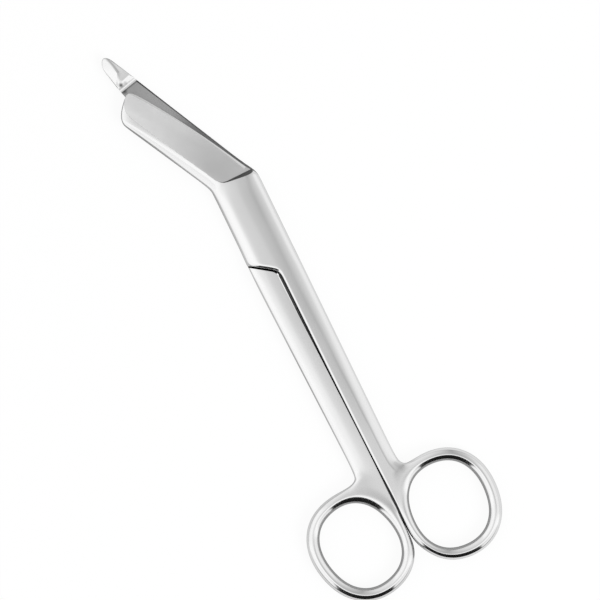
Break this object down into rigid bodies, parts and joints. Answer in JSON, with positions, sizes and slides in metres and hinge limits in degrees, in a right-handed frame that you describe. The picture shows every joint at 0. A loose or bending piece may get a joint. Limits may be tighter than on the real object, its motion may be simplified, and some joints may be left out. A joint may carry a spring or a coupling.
{
  "type": "bandage scissors",
  "caption": "Angled bandage scissors: two lapped steel halves on a screw pivot, a blunt-nosed blade over a longer blade with a raised probe tip, and oval finger rings.",
  "frame": {"origin": "on the pivot's axis, in the flat outer face of the front half's box", "axes": "+Z along the pivot's axis, out of the front half's face; +Y up the closed shanks, from the finger rings towards the blades; +X to the right, towards the front half's ring"},
  "size_m": [0.0589, 0.18, 0.005],
  "materials": {
    "front_steel": "polished, with a satin ground blade face",
    "rear_steel": "polished, with satin ground blade faces",
    "screw_steel": "turned and lightly polished"
  },
  "bodies": {
    "rear": {"rear_half": "rear_steel"},
    "front": {"front_half": "front_steel", "pivot_screw": "screw_steel"}
  },
  "joints": [
    {"name": "pivot", "type": "hinge", "parent": "rear", "child": "front", "pos_m": [0, 0, 0], "axis": [0, 0, 1], "range_deg": [0, 90]}
  ]
}
